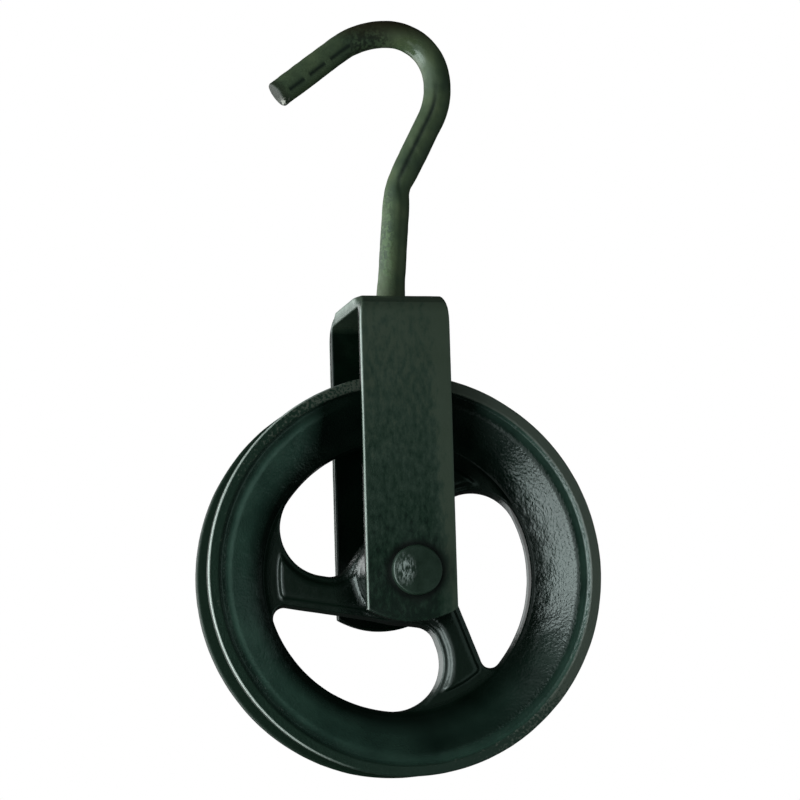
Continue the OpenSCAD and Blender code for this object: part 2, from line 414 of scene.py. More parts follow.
def blank_field(run, across, out):
    """The flat bar with its holes, as (along, across, thickness), drawn narrower on the outside of its bends."""
    bent_here = np.exp(-((np.abs(run) - bridge_half - 2) / 6) ** 2)
    edge = blank_at(run, across) + bend_thinning * bent_here * np.clip(out / strap_t + 0.5, 0, 1) ** 2
    rivet_run = half_run - (axle[2] - strap_low[2])
    for place, hole in ((-rivet_run, axle_r + hole_play), (rivet_run, axle_r + hole_play), (0, eye_r)):
        edge = np.maximum(edge, hole - np.hypot(run - place, across - hole_across))
    return overlap(edge, np.abs(out) - strap_t / 2, strap_arris)


def bent(points):
    """Points of the flat bar, carried to where the bent bar holds them."""
    run, across, out = points.T
    along = np.abs(run)
    turn = np.clip((along - bridge_half) / bend_mid, 0, math.pi / 2)
    y = np.minimum(along, bridge_half) + (bend_mid + out) * np.sin(turn)
    drop = np.maximum(along - bridge_half - bend_run, 0)
    z = leg_top + (bend_mid + out) * np.cos(turn) - drop
    return np.stack([strap_middle - across, y * np.sign(run), z], axis=1)


def stirrup_strap():
    """The flat bar, bent twice over the wheel."""
    reach = np.array([half_run, strap_w / 2, strap_t / 2]) + 1.3
    points, faces = skin(blank_field, -reach, reach, 0.65)
    dents = uneven(points, 2, (30, 0.06), (7, 0.05))
    points = bent(points - outward(blank_field, points) * dents[:, None])
    paint_on_it = satin_paint_on_flat_bar()
    return make("bent_strap", points, faces[:, ::-1], paint_on_it, "stirrup", "stirrup_strap")


# Turned and swept pieces

def swept(stations, sides):
    """Points and faces of a bar through (centre, side way, other way, radii) stations, closed at both ends."""
    rows = []
    turn = np.linspace(0, 2 * math.pi, sides, endpoint=False)
    for centre, side, other, radii in stations:
        offsets = np.cos(turn)[:, None] * side + np.sin(turn)[:, None] * other
        rows.append(centre + offsets * np.broadcast_to(radii, sides)[:, None])
    last = len(stations) - 1
    faces = []
    for row in range(last):
        for i in range(sides):
            j = (i + 1) % sides
            a, b = row * sides, (row + 1) * sides
            faces.append([a + i, a + j, b + j, b + i])
    ends = [list(range(sides))[::-1], [last * sides + i for i in range(sides)]]
    return np.concatenate(rows), faces + ends


def turned(profile, centre, way, side, sides, seed, depth):
    """A piece turned about an axis, from (height, radius) pairs, with its radii a little uneven."""
    way = np.array(way, float)
    side = np.array(side, float)
    other = np.cross(way, side)
    turn = np.linspace(0, 2 * math.pi, sides, endpoint=False)
    stations = []
    for height, radius in profile:
        around = np.stack([np.cos(turn) * radius, np.sin(turn) * radius, np.full(sides, height)], axis=1)
        dents = uneven(around, seed, (5, depth)) * min(radius / 6, 1)
        stations.append((np.array(centre) + way * height, side, other, radius - dents))
    return swept(stations, sides)


def rounded(corner_height, corner_radius, size, start, end, count=5):
    """The (height, radius) pairs of a rounded edge, its centre at the corner given."""
    return [
        (corner_height + size * math.sin(math.radians(a)), corner_radius + size * math.cos(math.radians(a)))
        for a in np.linspace(start, end, count)
    ]


def domed(height, radius, dome, steps=9):
    """The (height, radius) pairs of a low dome, from its rim to its middle."""
    return [(height + dome * (1 - share ** 2), max(radius * share, 0.05)) for share in np.linspace(1, 0, steps)]


def axle_rivet():
    """The rivet: the flat head in front, the shank and the hammered head behind."""
    front_r = (rivet_high[0] - rivet_low[0]) / 2
    front = -rivet_low[1]
    back = rivet_high[1]
    back_r = 12
    profile = [
        *[(-h, r) for h, r in domed(front - 0.75, front_r - 1.6, 0.6)[::-1]],
        *[(-h, r) for h, r in rounded(front - 1.6, front_r - 1.1, 0.95, 75, 0)],
        (-front + 3.4, front_r - 0.05),
        (-outside_half - 0.4, front_r - 0.1),
        (-outside_half, front_r - 0.5),
        (-outside_half, axle_r),
        (burr_high[1], axle_r),
        (burr_high[1], back_r - 0.6),
        (burr_high[1] + 0.5, back_r - 0.15),
        *rounded(back - 3.2, back_r - 2.1, 1.9, 0, 60),
        *domed(back - 1.5, back_r - 3.4, 1.3)[1:],
    ]
    points, faces = turned(profile, (axle[0], 0, axle[2]), (0, 1, 0), (1, 0, 0), 96, 4, 0.2)
    paint_on_it = rivet_paint_with_painted_highlight()
    return make("forged_rivet", points, faces, paint_on_it, "stirrup", "axle_rivet")


def punched_ring(name, low, high, hole_r, way, side, body, seed, replaced):
    """A punched washer between two corners, round about one axis."""
    centre = (low + high) / 2
    way = np.array(way, float)
    half = abs((high - low) @ way) / 2
    outer_r = max(high - low) / 2
    edge = 0.7
    section = [
        (-half, hole_r + edge),
        (-half, outer_r - edge),
        *rounded(-half + edge, outer_r - edge, edge, -60, 0, 3),
        *rounded(half - edge, outer_r - edge, edge, 0, 60, 3),
        (half, outer_r - edge),
        (half, hole_r + edge),
        (half - edge, hole_r),
        (-half + edge, hole_r),
    ]
    side = np.array(side, float)
    other = np.cross(way, side)
    sides = 64
    turn = np.linspace(0, 2 * math.pi, sides, endpoint=False)
    points = np.concatenate([
        centre + way * h + (np.cos(turn)[:, None] * side + np.sin(turn)[:, None] * other) * r
        for h, r in section
    ])
    count = len(section)
    faces = []
    for row in range(count):
        for i in range(sides):
            j = (i + 1) % sides
            a, b = row * sides, (row + 1) % count * sides
            faces.append([a + j, a + i, b + i, b + j])
    middle = (points - centre) @ way
    points = points - way * (np.sign(middle) * uneven(points, seed, (12, 0.06)))[:, None]
    return make(name, points, faces, satin_paint_on_flat_bar(), body, replaced)


# The hook

shank_foot = 3
hook_rise = -stirrup_top
washer_under = plate_low[2]
lean, return_lean, change, slope_down = 5, 27.3, 10, 37.3
foot_bend_r, kink_r, wide_r, tight_r, point_bend_r = 30, 20, 38, 25, 44
point_len = 41
station_gap = 0.7
hook_sides = 96
seam_on_shank, seam_on_run = 284, 252
seam_w = 1.3
seam_h = 0.3
seam_dashes = ((6, 15.5), (19, 29.5), (33, 46))


def heading(lean_angle):
    """The way that a bar leans to the right by an angle points, as (x, z)."""
    return np.array([math.sin(math.radians(lean_angle)), math.cos(math.radians(lean_angle))])


def bend_step(start, end, radius):
    """How far a bend from one lean to another carries the bar."""
    a, b = heading(start), heading(end)
    return math.copysign(radius, end - start) * np.array([a[1] - b[1], b[0] - a[0]])


def hook_path():
    """The bar's centre line above the washer, as (place, lean, length), and the length at each stretch's end."""
    left = np.array([-swivel_x, hook_rise + bar_r - shank_foot])
    left -= bend_step(0, lean, foot_bend_r) + bend_step(lean, return_lean, kink_r)
    left -= bend_step(return_lean, -change, wide_r) + bend_step(-change, -90, tight_r)
    a, b = heading(lean), heading(return_lean)
    across = b[0] * a[1] - b[1] * a[0]
    shank_run = (b[0] * left[1] - b[1] * left[0]) / across
    return_run = (left[0] * a[1] - left[1] * a[0]) / across
    steps = [
        (stirrup_top + shank_foot - washer_under, 0, 0),
        (0, lean, foot_bend_r),
        (shank_run, 0, 0),
        (0, return_lean - lean, kink_r),
        (return_run, 0, 0),
        (0, -return_lean - change, wide_r),
        (0, change - 90, tight_r),
        (0, -slope_down, point_bend_r),
        (point_len, 0, 0),
    ]
    place = np.array([swivel_x, washer_under])
    leaning = 0
    path = [(place, 0, 0)]
    length = 0
    marks = []
    for run, turn, radius in steps:
        total = run if run else abs(math.radians(turn)) * radius
        count = max(2, round(total / station_gap))
        for i in range(1, count + 1):
            share = i / count
            if run:
                here = place + heading(leaning) * run * share
            else:
                here = place + bend_step(leaning, leaning + turn * share, radius)
            path.append((here, leaning + turn * share, length + total * share))
        place = path[-1][0]
        leaning += turn
        length += total
        marks.append(length)
    return path, marks


def bar_girth(length, marks):
    """The bar's radius along its length: drawn thin in the kink and upset at the foot."""
    kink = (marks[2] + marks[3]) / 2
    foot = marks[0]
    thin = 0.62 * math.exp(-((length - kink) / 7) ** 2)
    thick = 0.3 * math.exp(-((length - foot - 3) / 5) ** 2) if length > foot - 1 else 0
    return bar_r - 0.05 - thin + thick


def seam_share(length, marks):
    """How deep the rolling seam is at a length: faint on the shank, deep after the kink, broken on the point."""
    before_end = marks[-1] - length
    if length < marks[0]:
        return 0
    if length < marks[5]:
        return float(np.interp(length, (marks[2], marks[3] + 4, marks[5] - 20, marks[5]), (0.35, 1, 1, 0)))
    return float(any(near < before_end < far for near, far in seam_dashes))


def seam_ring(length, marks, turn):
    """How much of the seam each point round the bar holds at a length."""
    at = math.radians(np.interp(length, (marks[2] - 4, marks[3]), (seam_on_shank, seam_on_run)))
    off = np.sin((turn - at) / 2) * 2 * bar_r
    return seam_share(length, marks) * np.exp(-(off / seam_w) ** 2)


def hook():
    """The round bar, bent to shape, with its foot hammered over under the washer."""
    path, marks = hook_path()
    turn = np.linspace(0, 2 * math.pi, hook_sides, endpoint=False)
    foot_low = hook_low[2]
    foot_r = 12
    back = np.array([0, 1, 0], float)
    stations = []
    seams = []
    foot = [
        *[(foot_low + 0.6 - h, r) for h, r in domed(-0.9, foot_r - 3, 1.4)[::-1]],
        *[(foot_low + 3 - h, r) for h, r in rounded(0, foot_r - 2.2, 2.1, 60, 0)],
        (washer_under - 0.5, foot_r - 0.1),
        (washer_under, foot_r - 0.6),
        (washer_under, bar_r),
    ]
    for z, radius in foot:
        around = np.stack([np.cos(turn) * radius, np.sin(turn) * radius, np.full(hook_sides, z)], axis=1)
        dents = uneven(around, 6, (5, 0.35)) * min(radius / 6, 1)
        stations.append((np.array([swivel_x, 0, z]), np.array([1.0, 0, 0]), back, radius - dents))
        seams.append(np.zeros(hook_sides))
    cut = marks[-1] - 0.3
    for (x, z), leaning, length in path[1:]:
        if length > cut:
            break
        way = heading(leaning)
        side = np.array([way[1], 0, -way[0]])
        around = np.stack([x + np.cos(turn) * bar_r, np.sin(turn) * bar_r, np.full(hook_sides, z)], axis=1)
        free = 1 if length > marks[0] else 0.1
        swell = 0.16 * rough(around, 8, 14) + 0.14 * rough(around, 9, 4.5)
        seam = seam_ring(length, marks, turn)
        bevel = max(0, 0.9 - (cut - length)) * 0.8
        radii = bar_girth(length, marks) + np.minimum(swell, 0.04) * free - seam * seam_h - bevel
        stations.append((np.array([x, 0, z]), side, back, radii))
        seams.append(seam)
        tip = np.array([x, 0, z])
        way_on = np.array([way[0], 0, way[1]])
    chip = 0.35 * np.maximum(np.cos(turn - 2.4), 0) + 0.2 * np.cos(3 * turn)
    for share in (0.9, 0.7, 0.45, 0.2, 0.01):
        stations.append((tip + way_on * 0.2 * (1 - share), side, back, (bar_r - 0.8 + 0.5 * chip) * share))
        seams.append(np.zeros(hook_sides))
    points, faces = swept(stations, hook_sides)
    faces = [f[::-1] for f in faces]
    paint_on_it = worn_paint_on_round_bar(tip)
    marked = {"seam": np.concatenate(seams)}
    return make("forged_hook", points, faces, paint_on_it, "hook", "hook", marked)


# Finishes

def paint(code):
    """The linear colour of an sRGB hex code."""
    parts = [int(code[i:i + 2], 16) / 255 for i in (1, 3, 5)]
    return (*[c / 12.92 if c <= 0.04045 else ((c + 0.055) / 1.055) ** 2.4 for c in parts], 1)


def per_metre(size):
    """The texture scale for a pattern of a size in millimetres."""
    return 1 / (size * MM)


def add(tree, kind, sockets, out=0, stops=(), **settings):
    """A new node with its settings, inputs set or linked and a ramp's stops; gives one of its outputs."""
    made = tree.nodes.new("ShaderNode" + kind)
    for name, value in settings.items():
        setattr(made, name, value)
    for name, value in sockets.items():
        if isinstance(value, bpy.types.NodeSocket):
            tree.links.new(value, made.inputs[name])
        else:
            made.inputs[name].default_value = value
    for number, (position, code) in enumerate(stops):
        steps = made.color_ramp.elements
        step = steps[number] if number < 2 else steps.new(position)
        step.position = position
        step.color = paint(code)
    return made.outputs[out] if made.outputs else made


def new_paint(name):
    """A new material's empty node tree, and the place on the piece."""
    material = bpy.data.materials.new(name)
    material.use_nodes = True
    tree = material.node_tree
    tree.nodes.clear()
    return material, tree, add(tree, "TexCoord", {}, "Object")


# The oil paint's reflections are a little green where they are weak
oil_ior = 1.6
worn_ior = 1.38
oil_tint = paint("#ECFFFC")


def gloss_paint_on_casting():
    """Gloss oil paint brushed on sand-cast iron: an almost black green with bright, broad reflections.

    The mould's sand shows through as specks in the reflections, and the lips are rubbed to a dull olive that is
    lighter towards the right and darker towards the bottom. A paler green on the shell, strongest on the left, is
    painted light; above the axle beside the strap the paint is kept dark and mirrors less, a painted shadow of the
    strap; and a pale line along the left of the front lip's outer edge is a painted highlight.
    """
    material, tree, place = new_paint("gloss_oil_paint_on_sand_casting")
    cloud = add(tree, "TexNoise", {"Vector": place, "Scale": per_metre(18), "Detail": 4.0})
    # Moulding sand is about 0.3 mm; its specks are drawn five times as coarse, so that they show
    sand = add(tree, "TexNoise", {"Vector": place, "Scale": per_metre(1.4), "Detail": 2.0, "Roughness": 0.6})
    lumps = add(tree, "TexNoise", {"Vector": place, "Scale": per_metre(5), "Detail": 3.0})
    thick = add(tree, "ValToRGB", {"Fac": cloud}, stops=((0.3, "#030A06"), (0.7, "#08130E")))
    # The paler green laid over the shell is painted light, strongest on the left of the shell and weaker on the flat
    # by the lips
    paler_with_painted_light = add(tree, "ValToRGB", {"Fac": cloud}, stops=((0.3, "#2A453C"), (0.7, "#3C5C50")))
    flat = add(tree, "VectorMath", {0: place, 1: (1.0, 0.0, 1.0)}, operation="MULTIPLY")
    middle = (axle[0] * MM, 0.0, axle[2] * MM)
    radius = add(tree, "VectorMath", {0: flat, 1: middle}, "Value", operation="DISTANCE")
    depth = add(tree, "SeparateXYZ", {"Vector": place}, "Y")
    height = add(tree, "Math", {0: depth}, operation="ABSOLUTE")
    face_start = (rim_half - 1) * MM
    lip = add(tree, "MapRange", {"Value": height, "From Min": face_start, "From Max": face_start + 0.6 * MM})
    on_rim = add(tree, "Math", {0: radius, 1: (wheel_r - 12) * MM}, operation="GREATER_THAN")
    lip = add(tree, "Math", {0: lip, 1: on_rim}, operation="MULTIPLY")
    past_seat = add(tree, "MapRange", {"Value": radius, "From Min": (seat_r - 1) * MM, "From Max": seat_r * MM})
    below_lip = add(tree, "Math", {0: depth, 1: 0.0007, 2: 0.0195}, operation="COMPARE")
    groove = add(tree, "Math", {0: past_seat, 1: below_lip}, operation="MULTIPLY")
    across = add(tree, "SeparateXYZ", {"Vector": place}, "X")
    on_shell = add(tree, "MapRange", {"Value": radius, "From Min": 0.072, "From Max": 0.08})
    leftward = add(tree, "MapRange", {
        "Value": across, "From Min": 0.01, "From Max": -0.08, "To Min": 0.12, "To Max": 1.0,
    })
    up = add(tree, "SeparateXYZ", {"Vector": place}, "Z")
    # Above the axle and beside the strap the paint is kept dark and mirrors less: a painted shadow of the strap
    above = add(tree, "MapRange", {"Value": up, "From Min": -0.245, "From Max": -0.215})
    from_strap = add(tree, "Math", {0: across, 1: -strap_middle * MM}, operation="ADD")
    from_strap = add(tree, "Math", {0: from_strap}, operation="ABSOLUTE")
    beside = add(tree, "MapRange", {"Value": from_strap, "From Min": 0.05, "From Max": 0.038})
    painted_strap_shadow = add(tree, "Math", {0: above, 1: beside}, operation="MULTIPLY")
    outside_strap_shadow = add(tree, "Math", {0: 1.0, 1: painted_strap_shadow}, operation="SUBTRACT")
    on_flat = add(tree, "MapRange", {"Value": radius, "From Min": 0.0885, "From Max": 0.0915})
    rightward = add(tree, "MapRange", {
        "Value": across, "From Min": -0.09, "From Max": 0.09, "To Min": 0.25, "To Max": 0.5,
    })
    sideways = add(tree, "Mix", {0: on_flat, 2: leftward, 3: rightward}, data_type="FLOAT")
    # How much of the paler green, by side and by radius: painted light
    painted_light_on_shell = add(tree, "Math", {0: on_shell, 1: sideways}, operation="MULTIPLY")
    painted_light_on_shell = add(tree, "Math", {0: painted_light_on_shell, 1: outside_strap_shadow}, operation="MULTIPLY")
    # The lips' rubbed olive is lighter towards the right and darker towards the bottom
    rubbing = add(tree, "MapRange", {"Value": across, "From Min": -0.1, "From Max": 0.095, "To Min": -0.3, "To Max": 0.9})
    rubbing = add(tree, "Math", {0: sand, 1: 1.8, 2: rubbing}, operation="MULTIPLY_ADD")
    low_down = add(tree, "MapRange", {"Value": up, "From Min": -0.29, "From Max": -0.34, "To Max": 0.7})
    rubbing = add(tree, "Math", {0: rubbing, 1: low_down}, operation="SUBTRACT")
    rubbed = add(tree, "ValToRGB", {"Fac": rubbing}, stops=((0.9, "#14271E"), (1.8, "#3C453D")))
    coat = add(tree, "Mix", {0: painted_light_on_shell, 6: thick, 7: paler_with_painted_light}, 2, data_type="RGBA")
    coat = add(tree, "Mix", {0: groove, 6: coat, 7: paint("#0A1C12")}, 2, data_type="RGBA")
    colour = add(tree, "Mix", {0: lip, 6: coat, 7: rubbed}, 2, data_type="RGBA")
    gloss = add(tree, "MapRange", {"Value": cloud, "From Min": 0.3, "From Max": 0.7, "To Min": 0.13, "To Max": 0.2})
    dull = add(tree, "Mix", {0: lip, 2: gloss, 3: 0.38}, data_type="FLOAT")
    dull = add(tree, "Mix", {0: groove, 2: dull, 3: 0.5}, data_type="FLOAT")
    # A pale line along the left of the front lip's outer edge is a painted highlight
    outermost = (wheel_r - 0.7) * MM
    bright = add(tree, "MapRange", {"Value": radius, "From Min": outermost - 0.2 * MM, "From Max": outermost})
    in_front = add(tree, "MapRange", {"Value": depth, "From Min": -0.0188, "From Max": -0.0191})
    at_left = add(tree, "MapRange", {"Value": across, "From Min": -0.03, "From Max": -0.06})
    bright = add(tree, "Math", {0: bright, 1: in_front}, operation="MULTIPLY")
    bright = add(tree, "Math", {0: bright, 1: at_left}, operation="MULTIPLY")
    colour = add(tree, "Mix", {0: bright, 6: colour, 7: paint("#7F8C86")}, 2, data_type="RGBA")
    past_hub = add(tree, "MapRange", {"Value": radius, "From Min": 0.03, "From Max": 0.036})
    before_rim = add(tree, "MapRange", {"Value": radius, "From Min": 0.069, "From Max": 0.065})
    on_arm = add(tree, "Math", {0: past_hub, 1: before_rim}, operation="MULTIPLY")
    # Arms inside the strap's painted shadow keep the darker body colour
    on_arm = add(tree, "Math", {0: on_arm, 1: outside_strap_shadow}, operation="MULTIPLY")
    colour = add(tree, "Mix", {0: on_arm, 6: colour, 7: paint("#08170F")}, 2, data_type="RGBA")
    dull = add(tree, "Mix", {0: on_arm, 2: dull, 3: 0.3}, data_type="FLOAT")
    in_corner = add(tree, "Math", {0: radius, 1: corner_r * MM, 2: 1.3 * MM}, operation="COMPARE")
    left_lip = add(tree, "MapRange", {"Value": across, "From Min": 0.02, "From Max": -0.06, "To Max": 0.9})
    left_lip = add(tree, "Math", {0: left_lip, 1: lip}, operation="MULTIPLY")
    dull_there = add(tree, "Math", {0: groove, 1: in_corner}, operation="MAXIMUM")
    dull_there = add(tree, "Math", {0: dull_there, 1: left_lip}, operation="MAXIMUM")
    dull_there = add(tree, "Math", {0: dull_there, 1: painted_strap_shadow}, operation="MAXIMUM")
    mirroring = add(tree, "Mix", {0: dull_there, 2: 0.5, 3: 0.12}, data_type="FLOAT")
    coarse_r = (wheel_r - 25) * MM
    coarse = add(tree, "MapRange", {"Value": radius, "From Min": coarse_r, "From Max": coarse_r + 12 * MM, "To Min": 0.4})
    on_hub = add(tree, "MapRange", {"Value": radius, "From Min": 0.033, "From Max": 0.028, "To Max": 0.8})
    coarse = add(tree, "Math", {0: coarse, 1: on_hub}, operation="MAXIMUM")
    grit = add(tree, "Math", {0: sand, 1: coarse}, operation="MULTIPLY")
    grit = add(tree, "Mix", {0: groove, 2: grit, 3: 0.0}, data_type="FLOAT")
    waves = add(tree, "Bump", {"Height": lumps, "Distance": 0.15 * MM, "Strength": 1.0})
    specks = add(tree, "Bump", {"Height": grit, "Distance": 0.24 * MM, "Strength": 1.0, "Normal": waves})
    shader = add(tree, "BsdfPrincipled", {
        "Base Color": colour, "Roughness": dull, "IOR": oil_ior, "Specular Tint": oil_tint, "Normal": specks,
        "Specular IOR Level": mirroring,
    })
    add(tree, "OutputMaterial", {"Surface": shader})
    return material


def satin_paint_on_flat_bar():
    """Oil paint brushed on rolled flat bar: satin dark green, painted lighter olive upwards as a painted sheen, with
    painted light along both long edges.

    Long brush marks run down the bar. The unworn inner side keeps its gloss and is painted almost black as painted
    shade, and a near-black ring round the rivet head is a painted shadow.
    """
    known = bpy.data.materials.get("satin_oil_paint_on_rolled_bar")
    if known:
        return known
    material, tree, place = new_paint("satin_oil_paint_on_rolled_bar")
    cloud = add(tree, "TexNoise", {"Vector": place, "Scale": per_metre(14), "Detail": 4.0})
    drawn = add(tree, "VectorMath", {0: place, 1: (1.0, 1.0, 0.5)}, operation="MULTIPLY")
    brushed = add(tree, "TexNoise", {"Vector": drawn, "Scale": per_metre(2.6), "Detail": 4.0, "Roughness": 0.65})
    height = add(tree, "SeparateXYZ", {"Vector": place}, "Z")
    depth = add(tree, "SeparateXYZ", {"Vector": place}, "Y")
    across = add(tree, "SeparateXYZ", {"Vector": place}, "X")
    # Lighter towards the top: a painted sheen
    rise = add(tree, "MapRange", {"Value": height, "From Min": -0.295, "From Max": -0.14})
    mottle = add(tree, "MapRange", {"Value": brushed, "From Min": 0.3, "From Max": 0.7, "To Min": -0.4, "To Max": 0.4})
    # A lighter band along the right edge is painted light
    edge_start = (strap_high[0] - 11) * MM
    edge = add(tree, "MapRange", {
        "Value": across, "From Min": edge_start, "From Max": edge_start + 9 * MM, "To Max": 0.9,
    })
    paler_with_painted_light = add(tree, "Math", {0: rise, 1: mottle}, operation="ADD")
    paler_with_painted_light = add(tree, "Math", {0: paler_with_painted_light, 1: edge}, operation="ADD")
    outer = add(tree, "ValToRGB", {"Fac": paler_with_painted_light}, stops=(
        (0.0, "#06170F"), (1.0, "#354236"), (0.2, "#11261B"), (0.65, "#26372D"),
    ))
    # A pale line along the left edge is a painted highlight
    left_edge = strap_low[0] * MM
    painted_highlight_left_edge = add(tree, "MapRange", {"Value": across, "From Min": left_edge + 0.9 * MM, "From Max": left_edge + 0.2 * MM})
    outer = add(tree, "Mix", {0: painted_highlight_left_edge, 6: outer, 7: paint("#6C7A72")}, 2, data_type="RGBA")
    # A near-black ring round the rivet head is a painted shadow
    rivet_place = (axle[0] * MM, -outside_half * MM, axle[2] * MM)
    from_rivet = add(tree, "VectorMath", {0: place, 1: rivet_place}, "Value", operation="DISTANCE")
    painted_rivet_shadow = add(tree, "MapRange", {"Value": from_rivet, "From Min": 0.0165, "From Max": 0.0135})
    outer = add(tree, "Mix", {0: painted_rivet_shadow, 6: outer, 7: paint("#020704")}, 2, data_type="RGBA")
    # The inner faces are painted near black: painted shade
    inner = add(tree, "ValToRGB", {"Fac": cloud}, stops=((0.3, "#020704"), (0.6, "#041009")))
    spread = add(tree, "Math", {0: depth}, operation="ABSOLUTE")
    skin_start = (outside_half - 2.3) * MM
    outside = add(tree, "MapRange", {"Value": spread, "From Min": skin_start, "From Max": skin_start + 0.8 * MM})
    on_top = add(tree, "MapRange", {
        "Value": height, "From Min": (stirrup_top - bend_in - strap_t) * MM, "From Max": (stirrup_top - 1) * MM,
    })
    outside = add(tree, "Math", {0: outside, 1: on_top}, operation="MAXIMUM")
    mirroring = add(tree, "Mix", {0: outside, 2: 0.15, 3: 0.5}, data_type="FLOAT")
    colour = add(tree, "Mix", {0: outside, 6: inner, 7: outer}, 2, data_type="RGBA")
    satin = add(tree, "MapRange", {"Value": cloud, "From Min": 0.3, "From Max": 0.7, "To Min": 0.28, "To Max": 0.38})
    gloss = add(tree, "Mix", {0: outside, 2: 0.2, 3: satin}, data_type="FLOAT")
    strokes = add(tree, "Bump", {"Height": brushed, "Distance": 0.08 * MM, "Strength": 1.0})
    lumps = add(tree, "Bump", {"Height": cloud, "Distance": 0.3 * MM, "Strength": 1.0, "Normal": strokes})
    shader = add(tree, "BsdfPrincipled", {
        "Base Color": colour, "Roughness": gloss, "IOR": oil_ior, "Specular Tint": oil_tint, "Normal": lumps,
        "Specular IOR Level": mirroring,
    })
    add(tree, "OutputMaterial", {"Surface": shader})
    return material


def worn_paint_on_round_bar(tip):
    """Oil paint on forged round bar: olive green, handled until it is dull, with flakes near the kink.

    The seam's groove is painted dark as painted shade, patches round the inside of the crown are painted darker, the
    crown's top is a darker brown, and the sheared tip has chipped to pale primer.
    """
    material, tree, place = new_paint("worn_oil_paint_on_forged_bar")
    cloud = add(tree, "TexNoise", {"Vector": place, "Scale": per_metre(16), "Detail": 4.0})
    pits = add(tree, "TexNoise", {"Vector": place, "Scale": per_metre(2.2), "Detail": 3.0, "Roughness": 0.6})
    lumps = add(tree, "TexNoise", {"Vector": place, "Scale": per_metre(7), "Detail": 3.0})
    base = add(tree, "ValToRGB", {"Fac": cloud}, stops=((0.3, "#2A3A2A"), (0.72, "#47553B"), (0.5, "#384832")))
    worn = add(tree, "MapRange", {"Value": pits, "From Min": 0.5, "From Max": 0.58})
    height = add(tree, "SeparateXYZ", {"Vector": place}, "Z")
    across = add(tree, "SeparateXYZ", {"Vector": place}, "X")
    below_kink = add(tree, "MapRange", {"Value": height, "From Min": -0.072, "From Max": -0.08})
    above_foot = add(tree, "MapRange", {"Value": height, "From Min": -0.128, "From Max": -0.12})
    at_left = add(tree, "MapRange", {"Value": across, "From Min": -0.0005, "From Max": -0.003})
    beside_kink = add(tree, "Math", {0: below_kink, 1: above_foot}, operation="MULTIPLY")
    beside_kink = add(tree, "Math", {0: beside_kink, 1: at_left}, operation="MULTIPLY")
    flaked = add(tree, "Math", {0: worn, 1: beside_kink}, operation="MULTIPLY")
    colour = add(tree, "Mix", {0: flaked, 6: base, 7: paint("#45593C")}, 2, data_type="RGBA")
    # Patches round the inside of the crown are painted darker
    crown_inside = (-0.012, 0.0, 0.0)
    from_crown = add(tree, "VectorMath", {0: place, 1: crown_inside}, "Value", operation="DISTANCE")
    in_crown = add(tree, "MapRange", {"Value": from_crown, "From Min": 0.017, "From Max": 0.009})
    dark_patches = add(tree, "MapRange", {"Value": pits, "From Min": 0.42, "From Max": 0.54, "To Max": 0.8})
    darker_in_crown = add(tree, "Math", {0: in_crown, 1: dark_patches}, operation="MULTIPLY")
    colour = add(tree, "Mix", {0: darker_in_crown, 6: colour, 7: paint("#0B1009")}, 2, data_type="RGBA")
    topmost = add(tree, "MapRange", {"Value": height, "From Min": 0.002, "From Max": 0.012, "To Max": 0.85})
    colour = add(tree, "Mix", {0: topmost, 6: colour, 7: paint("#2A2414")}, 2, data_type="RGBA")
    # The seam's groove is painted dark: painted shade
    seam = add(tree, "Attribute", {}, "Fac", attribute_name="seam")
    colour = add(tree, "Mix", {0: seam, 6: colour, 7: paint("#07140A")}, 2, data_type="RGBA")
    from_tip = add(tree, "VectorMath", {0: place, 1: tuple(tip * MM)}, "Value", operation="DISTANCE")
    near_tip = add(tree, "MapRange", {"Value": from_tip, "From Min": 0.0085, "From Max": 0.0065})
    colour = add(tree, "Mix", {0: near_tip, 6: colour, 7: paint("#161C12")}, 2, data_type="RGBA")
    chips = add(tree, "MapRange", {"Value": pits, "From Min": 0.5, "From Max": 0.56})
    low_tip = tip[2] * MM
    at_edge = add(tree, "MapRange", {"Value": height, "From Min": low_tip - 0.001, "From Max": low_tip - 0.004})
    chipped = add(tree, "Math", {0: near_tip, 1: chips}, operation="MULTIPLY")
    chipped = add(tree, "Math", {0: chipped, 1: at_edge}, operation="MULTIPLY")
    colour = add(tree, "Mix", {0: chipped, 6: colour, 7: paint("#8C9088")}, 2, data_type="RGBA")
    dull = add(tree, "MapRange", {"Value": cloud, "From Min": 0.3, "From Max": 0.7, "To Min": 0.48, "To Max": 0.6})
    wet_place = (0.0085, -0.006, -0.005)
    from_wet = add(tree, "VectorMath", {0: place, 1: wet_place}, "Value", operation="DISTANCE")
    wet = add(tree, "MapRange", {"Value": from_wet, "From Min": 0.0115, "From Max": 0.008})
    dull = add(tree, "Mix", {0: wet, 2: dull, 3: 0.18}, data_type="FLOAT")
    shine = add(tree, "Mix", {0: wet, 2: worn_ior, 3: 1.55}, data_type="FLOAT")
    blows = add(tree, "Bump", {"Height": lumps, "Distance": 0.22 * MM, "Strength": 1.0})
    depth = add(tree, "MapRange", {"Value": beside_kink, "To Min": 0.3, "To Max": 1.0})
    relief = add(tree, "Math", {0: pits, 1: depth}, operation="MULTIPLY")
    pitted = add(tree, "Bump", {"Height": relief, "Distance": 0.4 * MM, "Strength": 1.0, "Normal": blows})
    shader = add(tree, "BsdfPrincipled", {
        "Base Color": colour, "Roughness": dull, "IOR": shine, "Specular Tint": oil_tint, "Normal": pitted,
    })
    add(tree, "OutputMaterial", {"Surface": shader})
    return material


